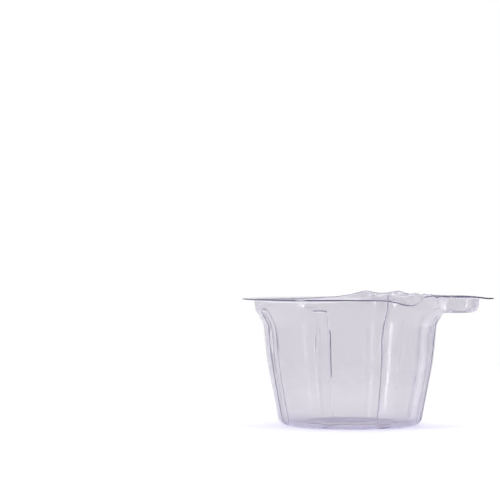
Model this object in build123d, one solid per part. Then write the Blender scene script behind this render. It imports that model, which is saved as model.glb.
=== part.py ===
from build123d import *
import math
import os

# Disposable specimen cup, formed from one thin clear sheet.
# Millimetres, +Z up, +X towards the pouring pouch, origin at the middle of the foot.
# The cup is the same on both sides of the XZ plane, so one half is built and mirrored.

# Sheet
WALL = 0.4  # thickness of the formed sheet
SKIN = 0.0  # inset of the outside surface

# Round body, radii and heights of the outside surface
BEAD_H = 0.7  # a raised ring stiffens the flat floor
BEAD_R = 15.0  # middle of the ring
BEAD_TOP_W = 2.4
BEAD_FOOT_W = 4.2
FOOT_R = 22.65  # sharp corner of the foot before rounding
BODY_MID_R = 26.5  # the side bulges a little towards this corner
BODY_MID_Z = 19.5
BODY_TOP_R = 27.75
BODY_TOP_Z = 32.0
SHOULDER_W = 2.6  # the shoulder widens the cup by this much
BAND_FOOT_R = BODY_TOP_R + SHOULDER_W
BAND_FOOT_Z = 36.7
BAND_LEAN = 0.4
BAND_TOP_R = BAND_FOOT_R + BAND_LEAN
RIM_Z = 40.0  # underside of the flat flange
BLANK_Z = 46.0  # the blanks run past the rim and are cut back by the flange
FOOT_ROUND = 4.0
BULGE_ROUND = 150.0
CORNER_STEP = 20.0  # a corner is eased in straight steps of about this many degrees
SHOULDER_LOW_ROUND = 3.5
SHOULDER_HIGH_ROUND = 2.5

# Pouring pouch on the +X side, sizes of the outside surface at the rim
POUCH_REACH = 10.45  # beyond the round band
POUCH_END_X = BAND_TOP_R + POUCH_REACH
POUCH_HALF_W = 9.2
POUCH_FLOOR_Z = 35.9
POUCH_DRAFT = 5.0  # degrees
POUCH_CORNER = 4.5  # plan radius at the outer corners
POUCH_FOOT_EDGE = 1.1
POUCH_FLARE_X = BAND_TOP_R + 0.25  # here the side walls start to open towards the round band
POUCH_FLARE_ANGLE = 55.0
POUCH_FLARE_LEN = 7.0
NECK_ROUND = 5.0

# Upright grooves: each row is (height, wall radius there, depth)
GROOVE_ANGLES = (112.5, 157.5)  # from the pouch axis
GROOVE_R = 3.2
GROOVE_SIDES = 16  # the cutter is a prism with this many sides
GROOVE_ROWS = (
    (-3.0, FOOT_R - 0.55, 0.8),
    (BODY_TOP_Z, BODY_TOP_R - 0.05, 1.15),
    (BAND_FOOT_Z + 0.3, BAND_FOOT_R + 0.05, 0.8),
)
# The groove beside the pouch stops under the pouch floor
NECK_GROOVE_ANGLE = 22.5
NECK_GROOVE_ROWS = GROOVE_ROWS[:2] + ((POUCH_FLOOR_Z - 1.3, BODY_TOP_R + 1.35, 1.0),)
# The wide groove under each wing runs up through the rim
WING_GROOVE_ANGLE = 67.25
WING_GROOVE_R = 4.8
WING_GROOVE_ROWS = (
    (-3.0, FOOT_R - 0.55, 1.2),
    (BODY_TOP_Z, BODY_TOP_R - 0.05, 1.7),
    (BAND_FOOT_Z, BAND_FOOT_R, 1.9),
    (BLANK_Z + 1, BAND_TOP_R + 0.55, 1.9),
)

# Flange
FLANGE_W = 3.75  # from the round band to the edge
FLANGE_R = BAND_TOP_R + FLANGE_W
FLANGE_END_X = POUCH_END_X + 3.7
FLANGE_HALF_W = POUCH_HALF_W + 3.5
FLANGE_CORNER = 7.5
FLANGE_T = 0.45  # upright thickness of the flange
NECK_AXIS_ANGLE = 40.0  # middle of the hollow between wing and pouch
NECK_R = 20.7
NECK_AXIS_R = BAND_TOP_R + NECK_R + 0.55  # leaves a narrow strip of flange at the neck
WING_TIP_ANGLE = 55.0
WING_TIP_ROUND = 2.2

# Lift of the flange above RIM_Z by angle from the pouch axis: at the wall, at the round edge, further out
LIFTS = (
    (0, 0.6, 0.6, 0.25),
    (10, 0.65, 0.65, 0.25),
    (20, 0.75, 0.75, 0.3),
    (28, 0.9, 0.8, 0.5),
    (35, 1.0, 0.8, 0.7),
    (41, 1.1, 0.5, 0.5),
    (45, 1.4, 0.0, 0.0),
    (49, 2.0, -0.8, -0.8),
    (53, 2.5, -1.4, -1.4),
    (58, 2.5, -1.6, -1.6),
    (63, 2.2, -1.5, -1.5),
    (68, 2.35, -1.2, -1.2),
    (73, 2.3, -0.8, -0.8),
    (78, 1.6, -0.4, -0.4),
    (84, 0.8, -0.1, -0.1),
    (91, 0.2, 0.0, 0.0),
    (98, 0.0, 0.0, 0.0),
    (106, 0.0, 0.0, 0.0),
    (118, 0.0, 0.0, 0.0),
    (130, 0.0, 0.0, 0.0),
    (142, 0.0, 0.0, 0.0),
    (155, 0.0, 0.0, 0.0),
    (168, 0.0, 0.0, 0.0),
    (180, 0.0, 0.0, 0.0),
)
TAB_STEP_R = FLANGE_R + 3.5  # the pouch flange steps down a little on the way to here
SHEET_IN_R = BODY_TOP_R - 5.75
SHEET_OUT_R = FLANGE_END_X + 5.1


def inset_points(points, inset):
    """The corners of a closed outline that runs counter-clockwise, moved inwards by inset."""
    moved = []
    for i, (x, y) in enumerate(points):
        before, after = points[i - 1], points[(i + 1) % len(points)]
        a = Vector(x - before[0], y - before[1]).normalized()
        b = Vector(after[0] - x, after[1] - y).normalized()
        share = inset / (1 + a.dot(b))
        moved.append((x - (a.Y + b.Y) * share, y + (a.X + b.X) * share))
    return moved


def corner(face, x, y):
    """The corner of a flat face nearest to a point."""
    return face.vertices().sort_by_distance(Vector(x, y, 0))[0]


def soft_face(points, rounds):
    """Flat face inside a closed outline whose corners are eased in short straight steps."""
    outline = []
    for i, (point, radius) in enumerate(zip(points, rounds)):
        here, before = Vector(*point), Vector(*points[i - 1])
        after = Vector(*points[(i + 1) % len(points)])
        a, b = (here - before).normalized(), (after - here).normalized()
        turn = math.acos(min(1.0, a.dot(b)))
        reach = radius * math.tan(turn / 2)
        reach = min(reach, 0.45 * (here - before).length, 0.45 * (after - here).length)
        if reach < 0.001:
            outline.append(here)
            continue
        curve = Bezier(here - a * reach, here, here + b * reach)
        steps = max(2, round(math.degrees(turn) / CORNER_STEP))
        outline += [curve @ (k / steps) for k in range(steps + 1)]
    return make_face(Polyline(*outline, close=True))


def body_blank(inset):
    """Round body as a solid half, its surface set in from the outside by inset."""
    past = 5.0
    outline = (
        (-past, 0, 0),
        (BEAD_R - BEAD_FOOT_W / 2, 0, 0),
        (BEAD_R - BEAD_TOP_W / 2, BEAD_H, 0),
        (BEAD_R + BEAD_TOP_W / 2, BEAD_H, 0),
        (BEAD_R + BEAD_FOOT_W / 2, 0, 0),
        (FOOT_R, 0, FOOT_ROUND - inset),
        (BODY_MID_R, BODY_MID_Z, BULGE_ROUND),
        (BODY_TOP_R, BODY_TOP_Z, SHOULDER_LOW_ROUND + inset),
        (BAND_FOOT_R, BAND_FOOT_Z, SHOULDER_HIGH_ROUND - inset),
        (BAND_TOP_R, RIM_Z, 0),
        (BAND_TOP_R, BLANK_Z, 0),
        (-past, BLANK_Z, 0),
    )
    spots = inset_points([(r, z) for r, z, _ in outline], inset)
    side = soft_face(spots, [radius for _, _, radius in outline])
    keep = Pos(BLANK_Z / 2, BLANK_Z / 2 - 1) * Rectangle(BLANK_Z, BLANK_Z + 2)
    return revolve(Plane.XZ * (side & keep), Axis.Z, 180)


def pouch_blank(inset):
    """Shallow pouch as a solid half that opens out into the round body."""
    floor_z = POUCH_FLOOR_Z + inset
    inward = (RIM_Z - floor_z) * math.tan(math.radians(POUCH_DRAFT))
    end_x = POUCH_END_X - inward
    half_w = POUCH_HALF_W - inward
    flare = math.radians(POUCH_FLARE_ANGLE)
    flare_x = POUCH_FLARE_X - POUCH_FLARE_LEN * math.cos(flare)
    flare_y = half_w + POUCH_FLARE_LEN * math.sin(flare)
    side = [(end_x, half_w), (POUCH_FLARE_X, half_w), (flare_x, flare_y), (18.0, flare_y)]
    spots = inset_points(side + [(x, -y) for x, y in reversed(side)], inset)
    plan = make_face(Polyline(*spots, close=True))
    for spot in (spots[0], spots[-1]):
        plan = fillet(corner(plan, *spot), POUCH_CORNER - inset)
    for spot in (spots[1], spots[-2]):
        plan = fillet(corner(plan, *spot), NECK_ROUND + inset)
    block = extrude(Pos(0, 0, floor_z) * plan, BLANK_Z - floor_z, taper=-POUCH_DRAFT)
    foot = block.edges().group_by(Axis.Z)[0].filter_by_position(Axis.X, 20, POUCH_END_X)
    return split(chamfer(foot, POUCH_FOOT_EDGE - inset / 2), Plane.XZ, keep=Keep.BOTTOM)


def groove_cutter(inset, angle, radius, rows):
    """Cutter that follows the side of the cup and presses one groove into it."""
    knots = [Vector(wall_r - depth + radius, 0, z) for z, wall_r, depth in rows]
    # Inside the sheet the groove ends higher, so that the sheet closes over its top
    knots[-1] += (knots[-1] - knots[-2]).normalized() * inset
    section = RegularPolygon(radius + inset, GROOVE_SIDES, rotation=180 / GROOVE_SIDES)
    cutter = None
    for start, end in zip(knots, knots[1:]):
        rod = extrude(Pos(start) * section, (end - start).length, dir=(end - start).normalized())
        cutter = rod if cutter is None else cutter + rod
    return Rot(0, 0, angle) * cutter


def cup_blank(inset):
    """Everything inside the sheet's surface at this inset, the +Y half, up to a plane above the rim."""
    blank = body_blank(inset)
    for angle in GROOVE_ANGLES:
        blank -= groove_cutter(inset, angle, GROOVE_R, GROOVE_ROWS)
    blank -= groove_cutter(inset, NECK_GROOVE_ANGLE, GROOVE_R, NECK_GROOVE_ROWS)
    blank -= groove_cutter(inset, WING_GROOVE_ANGLE, WING_GROOVE_R, WING_GROOVE_ROWS)
    return blank + pouch_blank(inset)


def flange_plan():
    """Plan outline of the flange with the hollows at the neck."""
    tab = Pos(FLANGE_END_X / 2, 0) * Rectangle(FLANGE_END_X, 2 * FLANGE_HALF_W)
    tab = fillet(tab.vertices().group_by(Axis.X)[-1], FLANGE_CORNER)
    plan = Circle(FLANGE_R) + tab
    for side in (1, -1):
        plan -= Rot(0, 0, side * NECK_AXIS_ANGLE) * Pos(NECK_AXIS_R, 0) * Circle(NECK_R)
    for side in (1, -1):
        tip = math.radians(side * WING_TIP_ANGLE)
        plan = fillet(corner(plan, FLANGE_R * math.cos(tip), FLANGE_R * math.sin(tip)), WING_TIP_ROUND)
    return plan


def flange_slice(row, low, high):
    """Upright section of the flange layer at one row of LIFTS, from low to high above its underside."""
    angle, at_wall, at_edge, beyond = row
    spots = (
        (SHEET_IN_R, at_wall),
        (BAND_TOP_R - WALL / 2, at_wall),
        (FLANGE_R, at_edge),
        (TAB_STEP_R, beyond),
        (SHEET_OUT_R, beyond),
    )
    top = [(r, RIM_Z + lift + high) for r, lift in spots]
    bottom = [(r, RIM_Z + lift + low) for r, lift in reversed(spots)]
    face = make_face(Polyline(*top, *bottom, close=True))
    return Rot(0, 0, angle) * (Plane.XZ * face)


def flange_layer(low, high):
    """Half ring that follows the waves of the flange, on the +Y side."""
    return loft([flange_slice(row, low, high) for row in LIFTS])


def build_half():
    """The +Y half of the cup."""
    outer = cup_blank(SKIN)
    inner = cup_blank(WALL)
    below = flange_layer(-60, FLANGE_T / 2)
    core = extrude(Circle(SHEET_IN_R + 1), BODY_TOP_Z - 2)
    wall = outer & (below + core)
    flange = flange_layer(0, FLANGE_T) & extrude(flange_plan(), 80)
    return (wall - inner) + (flange - inner)


def both_sides(half):
    """The whole solid: the half without its cut face, sewn to its mirror image."""
    skin = [face for face in half.faces() if face.bounding_box().max.Y > 0.01]
    return Solid(Shell(skin + [mirror(face, Plane.XZ) for face in skin]))


def main():
    cup = both_sides(build_half())
    os.makedirs("parts", exist_ok=True)
    export_step(cup, "parts/cup.step")


if __name__ == "__main__":
    main()
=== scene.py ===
import math

import bpy
import numpy as np
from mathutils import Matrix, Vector


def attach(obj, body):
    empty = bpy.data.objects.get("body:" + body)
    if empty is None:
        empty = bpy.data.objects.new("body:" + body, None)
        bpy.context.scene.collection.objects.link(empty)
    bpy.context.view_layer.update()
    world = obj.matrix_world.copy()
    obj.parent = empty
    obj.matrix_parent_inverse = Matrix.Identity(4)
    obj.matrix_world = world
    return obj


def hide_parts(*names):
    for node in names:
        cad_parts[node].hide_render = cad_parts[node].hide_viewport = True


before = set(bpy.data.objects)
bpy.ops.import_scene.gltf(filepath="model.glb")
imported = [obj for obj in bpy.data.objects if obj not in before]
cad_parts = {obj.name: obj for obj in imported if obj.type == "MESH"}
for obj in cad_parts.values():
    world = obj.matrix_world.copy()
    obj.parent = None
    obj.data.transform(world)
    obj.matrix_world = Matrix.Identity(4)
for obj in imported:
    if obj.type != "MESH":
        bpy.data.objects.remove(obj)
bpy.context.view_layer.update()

# Disposable specimen cup, formed from one thin clear PVC sheet. It has a round body with eight
# pressed grooves, a shallow pouring pouch on the +X side and a flange whose two wings twist upwards.
# The sizes below are in millimetres and meshes are made in metres.
MM = 0.001

# Sheet and its mesh
SHEET_T = 0.4
COLUMNS = 420  # upright lines of the mesh round the cup
BEND_STEPS = (0, 3, 3, 3, 3, 9, 7, 6, 4, 7, 5, 3, 0)  # rows in each bend, from the floor's middle outwards
RUN_STEPS = (2, 1, 2, 1, 4, 6, 6, 3, 3, 5, 4, 4)  # rows in the straight run from each bend to the next
BEND_SHARE = 0.47  # a bend takes no more than this share of the run beside it
SHARP_ANGLE = math.radians(50)  # shading breaks at edges that turn by more than this

# Round body: radius, height and corner radius of the outside surface, from the floor up
FLOOR_MID = 4.0
BODY_TOP_Z = 32.0
FLOOR_KNOTS = (
    (12.9, 0.0, 1.2),
    (13.8, 0.7, 1.0),
    (16.2, 0.7, 1.0),
    (17.1, 0.0, 1.2),
    (22.65, 0.0, 4.0),
    (26.5, 19.5, 150.0),
    (27.75, BODY_TOP_Z, 1.6),
)
SHOULDER = (29.2, 34.62, 1.5)
BAND_FOOT = (30.35, 36.7, 2.5)
BAND_TOP_R = 30.75
RIM_Z = 40.0
RIM_ROUND = 0.5
FLANGE_BEND = 3.0  # corner radius half way across the flange

# Pouring pouch
POUCH_END_X = 40.9
POUCH_HALF_W = 9.2
POUCH_CORNER = 4.5
POUCH_FLOOR_Z = 35.9
POUCH_SHELF_R = 29.9  # here the pouch floor starts on the shoulder
POUCH_FOOT_ROUND = 2.4
POUCH_DRAFT = math.tan(math.radians(6.5))
POUCH_BLEND = 1.6  # the pouch's form takes over across this width outside the round wall
FLARE_X = 31.0
FLARE_ROUND = 5.0
FLARE_END = (27.0, 14.9)
MOUTH_GAP = 1.5  # degrees from the flare's end to the first point of the round wall

# Flange
FLANGE_R = 34.44
TAB_FALL_R = 40.0  # past this radius the pouch's flange falls towards its end
TAB_END_X = 44.6
TAB_HALF_W = 12.7
TAB_CORNER = 7.5
NECK_AXIS_ANGLE = 40.0
NECK_AXIS_R = 52.0
NECK_R = 20.7
WING_TIP_ANGLE = 56.5
WING_TIP_ROUND = 2.2
WING_TIP_INSET = 0.6  # the wall's point at the tip is paired with a spot this far inside the round edge
WING_BACK_ANGLE = 75.0
# Where the pouch flares, this point past the flare's corner is paired with this spot on the flange's edge
FLARE_PAIR = ((0.8, 0.4), (32.4, 14.3))
# Points in plan curves, and how many of them away from the wing's tip each edge's direction is taken
PLAN_POINTS = 400
PLAN_RUN = 20
POUCH_CORNER_POINTS = 24
TAB_CORNER_POINTS = 32
WING_TIP_POINTS = 20
NECK_LOOK = 40
EDGE_LOOK = 8
# Lift of the flange above RIM_Z by angle from the pouch axis: at the wall, at the round edge, further out
LIFTS = (
    (0, 0.6, 0.6, 0.2),
    (10, 0.65, 0.65, 0.2),
    (20, 0.75, 0.75, 0.3),
    (28, 0.9, 0.8, 0.5),
    (35, 1.0, 0.8, 0.7),
    (42, 1.0, 0.6, 0.6),
    (46, 1.05, 0.5, 0.5),
    (49, 1.35, 0.3, 0.3),
    (51.2, 1.9, 0.1, 0.1),
    (53.2, 2.4, -0.2, -0.2),
    (55.2, 2.5, -0.5, -0.5),
    (58.2, 2.4, -1.15, -1.15),
    (61.2, 2.1, -1.55, -1.55),
    (64.2, 1.9, -1.55, -1.55),
    (68.2, 1.95, -1.1, -1.1),
    (72.2, 2.3, -0.5, -0.5),
    (75.2, 2.5, -0.2, -0.2),
    (78.2, 2.15, -0.05, -0.05),
    (82.2, 1.4, 0.0, 0.0),
    (87.2, 0.7, 0.0, 0.0),
    (92.2, 0.25, 0.0, 0.0),
    (98, 0.0, 0.0, 0.0),
    (180, 0.0, 0.0, 0.0),
)

# Pressed grooves: name, angle from the pouch axis, radius across, depth at the shoulder, height of the top
GROOVES = (
    ("Neck", 22.5, 2.7, 1.3, 34.9),
    ("Wing", 66.8, 3.8, 1.75, 60.0),
    ("Side", 112.6, 2.7, 1.35, 37.3),
    ("Back", 157.5, 2.7, 1.35, 37.3),
)
GROOVE_FOOT_SHARE = 0.7  # depth at the foot as a share of the depth at the shoulder
GROOVE_RAMP = 0.9  # height over which a groove runs out at its top
GROOVE_RUN_OUT = -1.2  # share of the depth just above the top, negative so that nothing of the groove is left
GROOVE_HALF_ANGLE = 0.5  # radians from its middle past which a groove does nothing
LIP_SOFTNESS = 0.35  # rounds the two edges of a groove
AXIS_R = 0.1  # nearer to the axis than this nothing is pressed in
# Radius of the side by height, as (height, radius); below the rounded foot it runs straight on
SIDE_LINE = (
    (0, 22.65),
    (4, 23.45),
    (19.5, 26.35),
    (31.2, 27.7),
    (34.6, 29.2),
    (BAND_FOOT[1], BAND_FOOT[0]),
    (RIM_Z, BAND_TOP_R),
)
CHART_SIDE = 40.0  # mm that the side of the curve's chart stands for

# Crinkles in the narrow flange beside the pouch: height, spacing, angle from the pouch axis
CRINKLE_H = 1.3
CRINKLE_SIZE = 1.6
CRINKLE_MID = math.radians(38)
CRINKLE_REACH = (math.radians(6), math.radians(14))  # full within the first, gone at the second
CRINKLE_START = (-0.5, 0.4)  # they grow between these heights from RIM_Z

# Camera of the photograph: the cup's axis is this far ahead of the camera and to its right
CAMERA_AHEAD = 640.0
CAMERA_RIGHT = 32.0
CAMERA_HEIGHT = 51.0
CAMERA_LENS = 144.0
CAMERA_TURN = math.radians(1.9)  # the camera looks this far round from +Y towards +X
HORIZON_SHIFT = 0.03
CAMERA_SENSOR = 36.0
CAMERA_CLIP = (0.01, 20.0)

# Film
PVC_COLOUR = "#F6F5F1"
PVC_ROUGHNESS = 0.09
PVC_IOR = 1.53
HAZE_COLOUR = "#DEDBE4"
HAZE_SHARE = 0.08
SHADOW_COLOUR = "#E6E4F0"
TINT_COLOUR = "#7260C6"
TINT_DENSITY = 300.0  # how fast light that runs inside the sheet takes the tint
WAVE_SIZE = 5.556  # forming leaves a slow waviness of this size in the film
WAVE_H = 0.12
WAVE_STRENGTH = 0.25  # of the bump

# Studio, in metres
STAGE_SIDE = 0.9
STAGE_Z = -0.0002
STAGE_FADE = (0.12, 0.4)  # the board fades out between these distances from the cup
STAGE_COLOUR = "#FAFAFA"
ROOM_SPAN = (-0.9, 0.3)  # the room brightens between directions with these Y parts, from -Y to +Y
ROOM_LEVELS = (0.1, 1.0)  # strength of the room in gloss at the two ends of that span
SOFT_LIGHT = 0.85  # strength of the room as a light on the object
AIM_Z = 20.0 * MM
# Lamps: name, angle round the cup from the pouch axis, distance, height, sides, power
LAMPS = (
    ("lamp_left", -149, 1.6, 0.5, (0.3, 1.4), 12.0),
    ("lamp_right", -30, 1.6, 0.5, (0.25, 1.4), 9.0),
    ("lamp_top", 60, 0.3, 1.8, (1.2, 1.2), 6.0),
)


def linear(code):
    """Linear RGBA of an sRGB hex colour."""
    parts = [int(code[i : i + 2], 16) / 255 for i in (1, 3, 5)]
    return [c / 12.92 if c <= 0.04045 else ((c + 0.055) / 1.055) ** 2.4 for c in parts] + [1.0]


def node(tree, kind, settings=None, inputs=None):
    """Adds a node. Settings go on the node itself; an input is a value or an output to link from."""
    made = tree.nodes.new(kind)
    for name, value in (settings or {}).items():
        setattr(made, name, value)
    for key, value in (inputs or {}).items():
        if isinstance(value, bpy.types.NodeSocket):
            tree.links.new(value, made.inputs[key])
        else:
            made.inputs[key].default_value = value
    return made


# Curves and outlines


def arc(start, peak, leave, steps):
    """Rows of points of a near circular bend from start to leave whose tangents meet at peak."""
    a, b = peak - start, leave - peak
    reach = np.linalg.norm(a, axis=-1, keepdims=True) + 1e-12
    turn = np.arccos(np.clip((a * b).sum(-1, keepdims=True) / reach**2, -1, 1))
    # The handles of a curve that follows a circle; a bend that is almost straight has them at two thirds
    share = np.where(turn > 1e-4, 4 / 3 * np.tan(turn / 4) / np.tan(turn / 2 + 1e-9), 2 / 3)
    p1, p2 = start + a * share, leave - b * share
    rows = []
    for t in np.linspace(0, 1, steps):
        near, far = 3 * (1 - t) ** 2 * t, 3 * (1 - t) * t**2
        rows.append((1 - t) ** 3 * start + near * p1 + far * p2 + t**3 * leave)
    return rows


def bent_line(knots, radii, bend_steps, run_steps):
    """Rows of points along a line through knots with rounded corners; each knot may hold many columns."""
    rows = [knots[0]]
    last = knots[0]
    for i in range(1, len(knots) - 1):
        here = knots[i]
        a, b = here - knots[i - 1], knots[i + 1] - here
        la = np.linalg.norm(a, axis=-1, keepdims=True)
        lb = np.linalg.norm(b, axis=-1, keepdims=True)
        turn = np.arccos(np.clip((a * b).sum(-1, keepdims=True) / (la * lb + 1e-12), -1, 1))
        reach = np.minimum(radii[i] * np.tan(turn / 2), BEND_SHARE * np.minimum(la, lb))
        start, leave = here - a / la * reach, here + b / lb * reach
        rows += [last + (start - last) * k / run_steps[i - 1] for k in range(1, run_steps[i - 1])]
        rows += arc(start, here, leave, bend_steps[i])
        last = leave
    rows += [last + (knots[-1] - last) * k / run_steps[-1] for k in range(1, run_steps[-1] + 1)]
    return np.stack(rows)


def resample(line, count):
    """The same line as count points, equally far apart."""
    step = np.linalg.norm(np.diff(line, axis=0), axis=1)
    along = np.concatenate([[0], np.cumsum(step)])
    spots = np.linspace(0, along[-1], count)
    return np.stack([np.interp(spots, along, line[:, k]) for k in range(line.shape[1])], axis=1)


def nearest(line, spot):
    """Number of the line's point that lies nearest to the spot."""
    return int(np.argmin(np.linalg.norm(line - np.array(spot), axis=1)))


def ring(radius, start, end):
    """Points of a circle round the origin between two angles in degrees."""
    angles = np.radians(np.linspace(start, end, PLAN_POINTS))
    return np.stack([radius * np.cos(angles), radius * np.sin(angles)], axis=1)


def mouth_half():
    """Plan outline of the wall at the rim from the pouch's end (+X) round to -X, on the +Y side."""
    knots = [
        (POUCH_END_X, 0.0),
        (POUCH_END_X, POUCH_HALF_W),
        (FLARE_X, POUCH_HALF_W),
        FLARE_END,
    ]
    bends = (0, POUCH_CORNER_POINTS, POUCH_CORNER_POINTS, 0)
    flare = bent_line(np.array(knots), (0, POUCH_CORNER, FLARE_ROUND, 0), bends, (PLAN_RUN,) * 3)
    join = math.degrees(math.atan2(FLARE_END[1], FLARE_END[0]))
    return np.concatenate([flare[:-1], ring(BAND_TOP_R, join + MOUTH_GAP, 180)])


def flange_half():
    """Plan outline of the flange's edge from +X round to -X, on the +Y side."""
    turn = math.radians(NECK_AXIS_ANGLE)
    neck = np.array((NECK_AXIS_R * math.cos(turn), NECK_AXIS_R * math.sin(turn)))
    tab = bent_line(
        np.array([(TAB_END_X, 0.0), (TAB_END_X, TAB_HALF_W), (neck[0], TAB_HALF_W)]),
        (0, TAB_CORNER, 0),
        (0, TAB_CORNER_POINTS, 0),
        (PLAN_RUN, 2),
    )
    wing = math.radians(WING_TIP_ANGLE)
    tip = np.array((FLANGE_R * math.cos(wing), FLANGE_R * math.sin(wing)))
    side = tip - neck
    stop = math.degrees(math.atan2(side[1], side[0]))
    hollow = neck + ring(NECK_R, -90, stop)
    edge = ring(FLANGE_R, WING_TIP_ANGLE, 180)

    def near_tip(line, towards):
        away = line[towards] - tip
        return nearest(line, tip + away / np.linalg.norm(away) * WING_TIP_ROUND)

    start = near_tip(hollow, -NECK_LOOK)
    end = near_tip(edge, EDGE_LOOK)
    bend = np.stack(arc(hollow[start], tip, edge[end], WING_TIP_POINTS))
    return np.concatenate([tab[:-1], hollow[:start], bend, edge[end + 1 :]])


def matched(mouth, flange, stations, count):
    """Both outlines cut at the stations and resampled, so that their points face each other in pairs."""
    inner, outer = [], []
    total = np.linalg.norm(np.diff(mouth, axis=0), axis=1).sum()
    for (m0, f0), (m1, f1) in zip(stations, stations[1:]):
        part_m = mouth[nearest(mouth, m0) : nearest(mouth, m1) + 1]
        part_f = flange[nearest(flange, f0) : nearest(flange, f1) + 1]
        share = np.linalg.norm(np.diff(part_m, axis=0), axis=1).sum() / total
        points = max(3, round(share * count)) + 1
        inner.append(resample(part_m, points)[:-1])
        outer.append(resample(part_f, points)[:-1])
    inner.append(mouth[-1:])
    outer.append(flange[-1:])
    return np.concatenate(inner), np.concatenate(outer)


def soft_steps(angle, column):
    """Value of one column of LIFTS at each angle in degrees, on a smooth line that is level at its ends."""
    knots = np.array([row[0] for row in LIFTS], float)
    values = np.array([row[column] for row in LIFTS], float)
    slopes = np.gradient(values, knots)
    slopes[0] = slopes[-1] = 0.0
    i = np.clip(np.searchsorted(knots, angle, side="right") - 1, 0, len(knots) - 2)
    width = knots[i + 1] - knots[i]
    t = (angle - knots[i]) / width
    return (
        (2 * t**3 - 3 * t**2 + 1) * values[i]
        + (t**3 - 2 * t**2 + t) * width * slopes[i]
        + (3 * t**2 - 2 * t**3) * values[i + 1]
        + (t**3 - t**2) * width * slopes[i + 1]
    )


def lift_at(plan):
    """Height of the flange's underside above RIM_Z at plan points."""
    angle = np.degrees(np.abs(np.arctan2(plan[:, 1], plan[:, 0])))
    reach = np.linalg.norm(plan, axis=1)
    at_wall, at_edge, beyond = (soft_steps(angle, k) for k in (1, 2, 3))
    first = np.clip((reach - BAND_TOP_R) / (FLANGE_R - BAND_TOP_R), 0, 1)
    second = np.clip((reach - TAB_FALL_R) / (TAB_END_X - TAB_FALL_R), 0, 1)
    second = second * second * (3 - 2 * second)
    return at_wall + (at_edge - at_wall) * first + (beyond - at_edge) * second


def sheet_rows():
    """Outside surface of the sheet before its grooves: rows from the floor's middle to the flange's edge."""
    corner_m = POUCH_CORNER * (1 - math.sqrt(0.5))
    corner_f = TAB_CORNER * (1 - math.sqrt(0.5))
    turn = math.radians(NECK_AXIS_ANGLE)
    neck = np.array((math.cos(turn), math.sin(turn)))
    wing = np.array((math.cos(math.radians(WING_TIP_ANGLE)), math.sin(math.radians(WING_TIP_ANGLE))))
    back = np.array((-1.0, 0.0))
    side = np.array((math.cos(math.radians(WING_BACK_ANGLE)), math.sin(math.radians(WING_BACK_ANGLE))))
    past, spot = FLARE_PAIR
    stations = (
        ((POUCH_END_X, 0), (TAB_END_X, 0)),
        ((POUCH_END_X - corner_m, POUCH_HALF_W - corner_m), (TAB_END_X - corner_f, TAB_HALF_W - corner_f)),
        ((FLARE_X + past[0], POUCH_HALF_W + past[1]), spot),
        (neck * BAND_TOP_R, neck * (NECK_AXIS_R - NECK_R)),
        (wing * BAND_TOP_R, wing * (FLANGE_R - WING_TIP_INSET)),
        (side * BAND_TOP_R, side * FLANGE_R),
        (back * BAND_TOP_R, back * FLANGE_R),
    )
    mouth, flange = matched(mouth_half(), flange_half(), stations, COLUMNS // 2)
    mouth = np.concatenate([mouth, (mouth * (1, -1))[-2:0:-1]])
    flange = np.concatenate([flange, (flange * (1, -1))[-2:0:-1]])

    along = np.roll(mouth, -1, axis=0) - np.roll(mouth, 1, axis=0)
    outward = np.stack([along[:, 1], -along[:, 0]], axis=1)
    outward /= np.linalg.norm(outward, axis=1, keepdims=True)
    reach = np.linalg.norm(mouth, axis=1)
    pouch = np.clip((reach - BAND_TOP_R) / POUCH_BLEND, 0, 1)
    pouch = (pouch * pouch * (3 - 2 * pouch))[:, None]

    wall_z = RIM_Z + lift_at(mouth)
    edge_z = RIM_Z + lift_at(flange)
    round_foot = mouth / reach[:, None] * BAND_FOOT[0]
    pouch_foot = mouth - outward * (RIM_Z - POUCH_FLOOR_Z) * POUCH_DRAFT
    foot = round_foot + (pouch_foot - round_foot) * pouch
    facing = foot / np.linalg.norm(foot, axis=1, keepdims=True)
    ones = np.ones((len(mouth), 1))

    def at(radius, height):
        return np.concatenate([facing * radius, ones * height], axis=1)

    foot_z = BAND_FOOT[1] + (POUCH_FLOOR_Z - BAND_FOOT[1]) * pouch
    foot_r = np.linalg.norm(foot, axis=1)[:, None]
    shelf_r = SHOULDER[0] + (POUCH_SHELF_R - SHOULDER[0]) * pouch
    shelf_z = SHOULDER[1] + (POUCH_FLOOR_Z - SHOULDER[1]) * pouch
    knots = [at(FLOOR_MID, 0.0)] + [at(r, z) for r, z, _ in FLOOR_KNOTS]
    knots.append(np.concatenate([facing * shelf_r, shelf_z], axis=1))
    knots.append(np.concatenate([facing * foot_r, foot_z], axis=1))
    knots.append(np.concatenate([mouth, wall_z[:, None]], axis=1))
    mid = (mouth + flange) / 2
    knots.append(np.concatenate([mid, (RIM_Z + lift_at(mid))[:, None]], axis=1))
    knots.append(np.concatenate([flange, edge_z[:, None]], axis=1))
    foot_round = BAND_FOOT[2] + (POUCH_FOOT_ROUND - BAND_FOOT[2]) * pouch
    radii = [0] + [r for _, _, r in FLOOR_KNOTS] + [SHOULDER[2], foot_round, RIM_ROUND, FLANGE_BEND, 0]
    return bent_line(np.stack(knots), radii, BEND_STEPS, RUN_STEPS)


def sheet_mesh(name):
    """The sheet before its grooves as one mesh of outward facing quads, closed in the middle of the floor."""
    rows = sheet_rows() * MM
    n_rows, n_cols = rows.shape[:2]
    verts = [(0.0, 0.0, 0.0)] + [tuple(p) for p in rows.reshape(-1, 3)]
    faces = []
    for c in range(n_cols):
        d = (c + 1) % n_cols
        faces.append((0, 1 + d, 1 + c))
        for r in range(n_rows - 1):
            a, b = 1 + r * n_cols, 1 + (r + 1) * n_cols
            faces.append((a + c, a + d, b + d, b + c))
    mesh = bpy.data.meshes.new(name)
    mesh.from_pydata(verts, [], faces)
    mesh.update()
    return mesh


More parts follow.
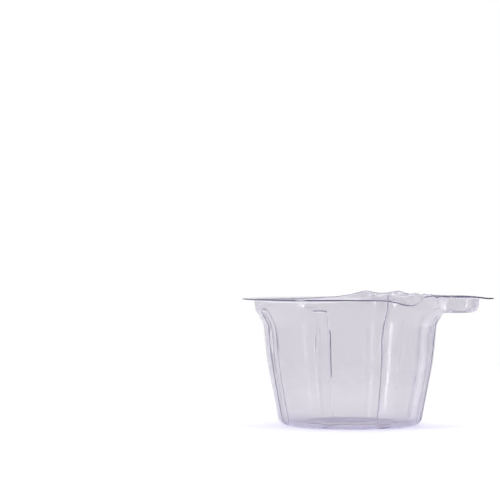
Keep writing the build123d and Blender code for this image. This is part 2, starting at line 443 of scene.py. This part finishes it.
# Grooves and crinkles


def groove_tree(material):
    """Geometry Nodes that press grooves into the cup's side and crinkle its flange, alike on both sides."""
    tree = bpy.data.node_groups.new("pressed grooves", "GeometryNodeTree")
    face = tree.interface
    face.new_socket("Geometry", in_out="INPUT", socket_type="NodeSocketGeometry")

    def size(name, value):
        face.new_socket(name, in_out="INPUT", socket_type="NodeSocketFloat").default_value = value

    for name, angle, radius, depth, top in GROOVES:
        size(name + " groove angle", math.radians(angle))
        size(name + " groove radius", radius * MM)
        size(name + " groove depth", depth * MM)
        size(name + " groove top", top * MM)
    size("Lip softness", LIP_SOFTNESS * MM)
    size("Crinkle height", CRINKLE_H * MM)
    size("Crinkle size", CRINKLE_SIZE * MM)
    size("Wall radius at rim", BAND_TOP_R * MM)
    size("Flange radius", FLANGE_R * MM)
    face.new_socket("Geometry", in_out="OUTPUT", socket_type="NodeSocketGeometry")
    given = node(tree, "NodeGroupInput").outputs

    def calc(operation, *values):
        return node(tree, "ShaderNodeMath", {"operation": operation}, dict(enumerate(values))).outputs[0]

    def spread(value, ends, results, kind="LINEAR"):
        """Maps a value between two ends to two results, held at the ends."""
        inputs = {"Value": value}
        inputs |= {"From Min": ends[0], "From Max": ends[1], "To Min": results[0], "To Max": results[1]}
        return node(tree, "ShaderNodeMapRange", {"interpolation_type": kind}, inputs).outputs["Result"]

    def by_height(rows):
        """A value that follows rows of (height, value), both in mm."""
        curve = node(tree, "ShaderNodeFloatCurve", {}, {"Value": calc("DIVIDE", z, CHART_SIDE * MM)})
        line = curve.mapping.curves[0]
        spots = [(a / CHART_SIDE, b / CHART_SIDE) for a, b in rows]
        line.points[0].location, line.points[1].location = spots[0], spots[-1]
        for spot in spots[1:-1]:
            line.points.new(*spot)
        for point in line.points:
            point.handle_type = "AUTO_CLAMPED"
        curve.mapping.update()
        return calc("MULTIPLY", curve.outputs["Value"], CHART_SIDE * MM)

    place = node(tree, "GeometryNodeInputPosition").outputs[0]
    x, y, z = node(tree, "ShaderNodeSeparateXYZ", {}, {0: place}).outputs
    reach = calc("SQRT", calc("ADD", calc("MULTIPLY", x, x), calc("MULTIPLY", y, y)))
    angle = calc("ABSOLUTE", calc("ARCTAN2", y, x))
    wall = calc("MINIMUM", reach, given["Wall radius at rim"])
    side = by_height(SIDE_LINE)
    depth_share = spread(z, (0.0, BODY_TOP_Z * MM), (GROOVE_FOOT_SHARE, 1.0))

    push = 0.0
    for name, _, _, _, _ in GROOVES:
        bend = given[name + " groove radius"]
        # The groove runs out over a short ramp at its top
        below_top = calc("SUBTRACT", given[name + " groove top"], z)
        ramp = spread(below_top, (0.0, GROOVE_RAMP * MM), (GROOVE_RUN_OUT, 1.0), "SMOOTHSTEP")
        depth = calc("MULTIPLY", given[name + " groove depth"], calc("MINIMUM", depth_share, ramp))
        middle = calc("ADD", calc("SUBTRACT", side, depth), bend)
        off = calc("SUBTRACT", angle, given[name + " groove angle"])
        across = calc("MULTIPLY", middle, calc("SINE", off))
        inside = calc("SUBTRACT", calc("MULTIPLY", bend, bend), calc("MULTIPLY", across, across))
        along = calc("MULTIPLY", middle, calc("COSINE", off))
        pressed = calc("SUBTRACT", along, calc("SQRT", calc("MAXIMUM", inside, 0.0)))
        # Beside the groove the surface stays where it is: this puts the pressed one a metre further out
        far = calc("GREATER_THAN", calc("ABSOLUTE", off), GROOVE_HALF_ANGLE)
        pressed = calc("ADD", pressed, calc("MAXIMUM", far, calc("LESS_THAN", inside, 0.0)))
        eased = calc("SMOOTH_MIN", wall, pressed, given["Lip softness"])
        push = calc("MAXIMUM", calc("SUBTRACT", wall, eased), push)
    flange_share = spread(reach, (given["Wall radius at rim"], given["Flange radius"]), (1.0, 0.0))
    scale = calc("DIVIDE", calc("MULTIPLY", push, flange_share), calc("MAXIMUM", reach, AXIS_R * MM))
    inwards = calc("MULTIPLY", scale, -1.0)
    press = {0: calc("MULTIPLY", x, inwards), 1: calc("MULTIPLY", y, inwards)}

    # The hot film crinkles a little where the flange is narrow, beside the pouch
    off = calc("ABSOLUTE", calc("SUBTRACT", angle, CRINKLE_MID))
    heights = [(RIM_Z + rise) * MM for rise in CRINKLE_START]
    at_neck = calc("MULTIPLY", spread(off, CRINKLE_REACH, (1.0, 0.0)), spread(z, heights, (0.0, 1.0)))
    spacing = calc("DIVIDE", 1.0, given["Crinkle size"])
    look = {"Vector": place, "Scale": spacing, "Detail": 1.0}
    wave = calc("SUBTRACT", node(tree, "ShaderNodeTexNoise", {}, look).outputs[0], 0.5)
    crinkle = {2: calc("MULTIPLY", calc("MULTIPLY", wave, at_neck), given["Crinkle height"])}
    shift = node(tree, "ShaderNodeCombineXYZ", {}, press | crinkle).outputs[0]
    moved = node(tree, "GeometryNodeSetPosition", {}, {"Geometry": given["Geometry"], "Offset": shift})
    real = node(tree, "GeometryNodeRealizeInstances", {}, {"Geometry": moved.outputs[0]})
    painted = node(tree, "GeometryNodeSetMaterial", {}, {"Geometry": real.outputs[0], "Material": material})
    node(tree, "NodeGroupOutput", {}, {"Geometry": painted.outputs[0]})
    return tree


def evaluated(piece):
    """Gives the piece the mesh that its modifiers make, and takes them off."""
    graph = bpy.context.evaluated_depsgraph_get()
    mesh = bpy.data.meshes.new_from_object(piece.evaluated_get(graph))
    piece.modifiers.clear()
    piece.data = mesh


def make_cup(material):
    """The whole cup as one closed sheet of even thickness."""
    cup = bpy.data.objects.new("cup_sheet", sheet_mesh("cup_sheet"))
    bpy.context.scene.collection.objects.link(cup)
    grooves = cup.modifiers.new("grooves", "NODES")
    grooves.node_group = groove_tree(material)
    evaluated(cup)
    wall = cup.modifiers.new("sheet thickness", "SOLIDIFY")
    wall.thickness = SHEET_T * MM
    wall.offset = -1.0
    wall.use_quality_normals = True
    evaluated(cup)
    cup.data.name = "cup_sheet"
    cup.data.materials.clear()
    cup.data.materials.append(material)
    for face in cup.data.polygons:
        face.use_smooth = True
    cup.data.set_sharp_from_angle(angle=SHARP_ANGLE)
    return cup


# Materials


def formed_pvc():
    """Thermoformed clear PVC: glossy film with a faint blue-violet tint that gathers at edges and folds."""
    material = bpy.data.materials.new("thermoformed clear PVC")
    material.use_nodes = True
    tree = material.node_tree
    tree.nodes.clear()
    where = node(tree, "ShaderNodeTexCoord").outputs["Object"]
    look = {"Vector": where, "Scale": 1 / (WAVE_SIZE * MM), "Detail": 1.0}
    wave = node(tree, "ShaderNodeTexNoise", {}, look).outputs["Fac"]
    look = {"Height": wave, "Strength": WAVE_STRENGTH, "Distance": WAVE_H * MM}
    bump = node(tree, "ShaderNodeBump", {}, look).outputs["Normal"]
    film = node(
        tree,
        "ShaderNodeBsdfPrincipled",
        {},
        {
            "Base Color": linear(PVC_COLOUR),
            "Roughness": PVC_ROUGHNESS,
            "IOR": PVC_IOR,
            "Transmission Weight": 1.0,
            "Normal": bump,
        },
    ).outputs[0]
    look = {"Color": linear(HAZE_COLOUR), "Normal": bump}
    haze = node(tree, "ShaderNodeBsdfTranslucent", {}, look).outputs[0]
    sheet = node(tree, "ShaderNodeMixShader", {}, {0: HAZE_SHARE, 1: film, 2: haze}).outputs[0]
    # Lamps shine through the film, so that its shadow is soft and tinted
    lamp_ray = node(tree, "ShaderNodeLightPath").outputs["Is Shadow Ray"]
    see_through = node(tree, "ShaderNodeBsdfTransparent", {}, {"Color": linear(SHADOW_COLOUR)}).outputs[0]
    both = node(tree, "ShaderNodeMixShader", {}, {0: lamp_ray, 1: sheet, 2: see_through}).outputs[0]
    look = {"Color": linear(TINT_COLOUR), "Density": TINT_DENSITY}
    tint = node(tree, "ShaderNodeVolumeAbsorption", {}, look).outputs[0]
    node(tree, "ShaderNodeOutputMaterial", {}, {"Surface": both, "Volume": tint})
    return material


def plain_floor():
    """Smooth white board that runs out into the white studio."""
    material = bpy.data.materials.new("white board")
    material.use_nodes = True
    tree = material.node_tree
    tree.nodes.clear()
    board = node(tree, "ShaderNodeBsdfDiffuse", {}, {"Color": linear(STAGE_COLOUR)}).outputs[0]
    clear = node(tree, "ShaderNodeBsdfTransparent").outputs[0]
    where = node(tree, "ShaderNodeTexCoord").outputs["Object"]
    reach = node(tree, "ShaderNodeVectorMath", {"operation": "LENGTH"}, {0: where}).outputs["Value"]
    fade = node(
        tree,
        "ShaderNodeMapRange",
        {"interpolation_type": "SMOOTHSTEP"},
        {"Value": reach, "From Min": STAGE_FADE[0], "From Max": STAGE_FADE[1]},
    ).outputs["Result"]
    both = node(tree, "ShaderNodeMixShader", {}, {0: fade, 1: board, 2: clear}).outputs[0]
    node(tree, "ShaderNodeOutputMaterial", {}, {"Surface": both})
    return material


# Studio


def make_stage():
    bpy.ops.mesh.primitive_plane_add(size=STAGE_SIDE, location=(0, 0, STAGE_Z))
    floor = bpy.context.object
    floor.name = "studio_floor"
    floor.data.materials.append(plain_floor())


def make_world():
    """White studio. Gloss on the object also shows that the room is darker on its -Y side."""
    world = bpy.data.worlds.new("studio")
    bpy.context.scene.world = world
    world.use_nodes = True
    tree = world.node_tree
    tree.nodes.clear()
    path = node(tree, "ShaderNodeLightPath").outputs

    def calc(operation, *values):
        return node(tree, "ShaderNodeMath", {"operation": operation}, dict(enumerate(values))).outputs[0]

    towards = node(tree, "ShaderNodeTexCoord").outputs["Generated"]
    y = node(tree, "ShaderNodeSeparateXYZ", {}, {0: towards}).outputs[1]
    span = {"Value": y, "From Min": ROOM_SPAN[0], "From Max": ROOM_SPAN[1]}
    span |= {"To Min": ROOM_LEVELS[0], "To Max": ROOM_LEVELS[1]}
    room = node(tree, "ShaderNodeMapRange", {"interpolation_type": "SMOOTHSTEP"}, span).outputs["Result"]
    white = calc("MAXIMUM", path["Is Camera Ray"], path["Is Transmission Ray"])
    gloss = calc("MULTIPLY", path["Is Glossy Ray"], room)
    seen = calc("MAXIMUM", white, gloss)
    other = calc("SUBTRACT", 1.0, calc("MAXIMUM", white, path["Is Glossy Ray"]))
    strength = calc("ADD", seen, calc("MULTIPLY", other, SOFT_LIGHT))
    light = node(tree, "ShaderNodeBackground", {}, {"Color": (1.0, 1.0, 1.0, 1.0), "Strength": strength})
    node(tree, "ShaderNodeOutputWorld", {}, {"Surface": light.outputs[0]})


def make_lamp(name, angle, distance, height, size, power):
    """A soft oblong lamp that faces the cup, at an angle round it from the pouch axis."""
    data = bpy.data.lights.new(name, "AREA")
    data.shape = "RECTANGLE"
    data.size, data.size_y = size
    data.energy = power
    lamp = bpy.data.objects.new(name, data)
    bpy.context.scene.collection.objects.link(lamp)
    turn = math.radians(angle)
    lamp.location = (distance * math.cos(turn), distance * math.sin(turn), height)
    aim = Vector((0, 0, AIM_Z)) - lamp.location
    lamp.rotation_euler = aim.to_track_quat("-Z", "Y").to_euler()


def make_camera():
    data = bpy.data.cameras.new("camera")
    data.sensor_width = CAMERA_SENSOR
    data.lens = CAMERA_LENS
    data.shift_y = HORIZON_SHIFT
    data.clip_start, data.clip_end = CAMERA_CLIP
    camera = bpy.data.objects.new("camera", data)
    bpy.context.scene.collection.objects.link(camera)
    ahead = Vector((math.sin(CAMERA_TURN), math.cos(CAMERA_TURN), 0))
    right = Vector((math.cos(CAMERA_TURN), -math.sin(CAMERA_TURN), 0))
    place = -ahead * CAMERA_AHEAD * MM - right * CAMERA_RIGHT * MM
    camera.location = (place.x, place.y, CAMERA_HEIGHT * MM)
    camera.rotation_euler = (math.radians(90), 0, -CAMERA_TURN)
    bpy.context.scene.camera = camera


scene = bpy.context.scene
scene.view_settings.view_transform = "Standard"
make_world()
make_stage()
for lamp in LAMPS:
    make_lamp(*lamp)
make_camera()

cup = make_cup(formed_pvc())
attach(cup, "root")
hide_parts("cup")
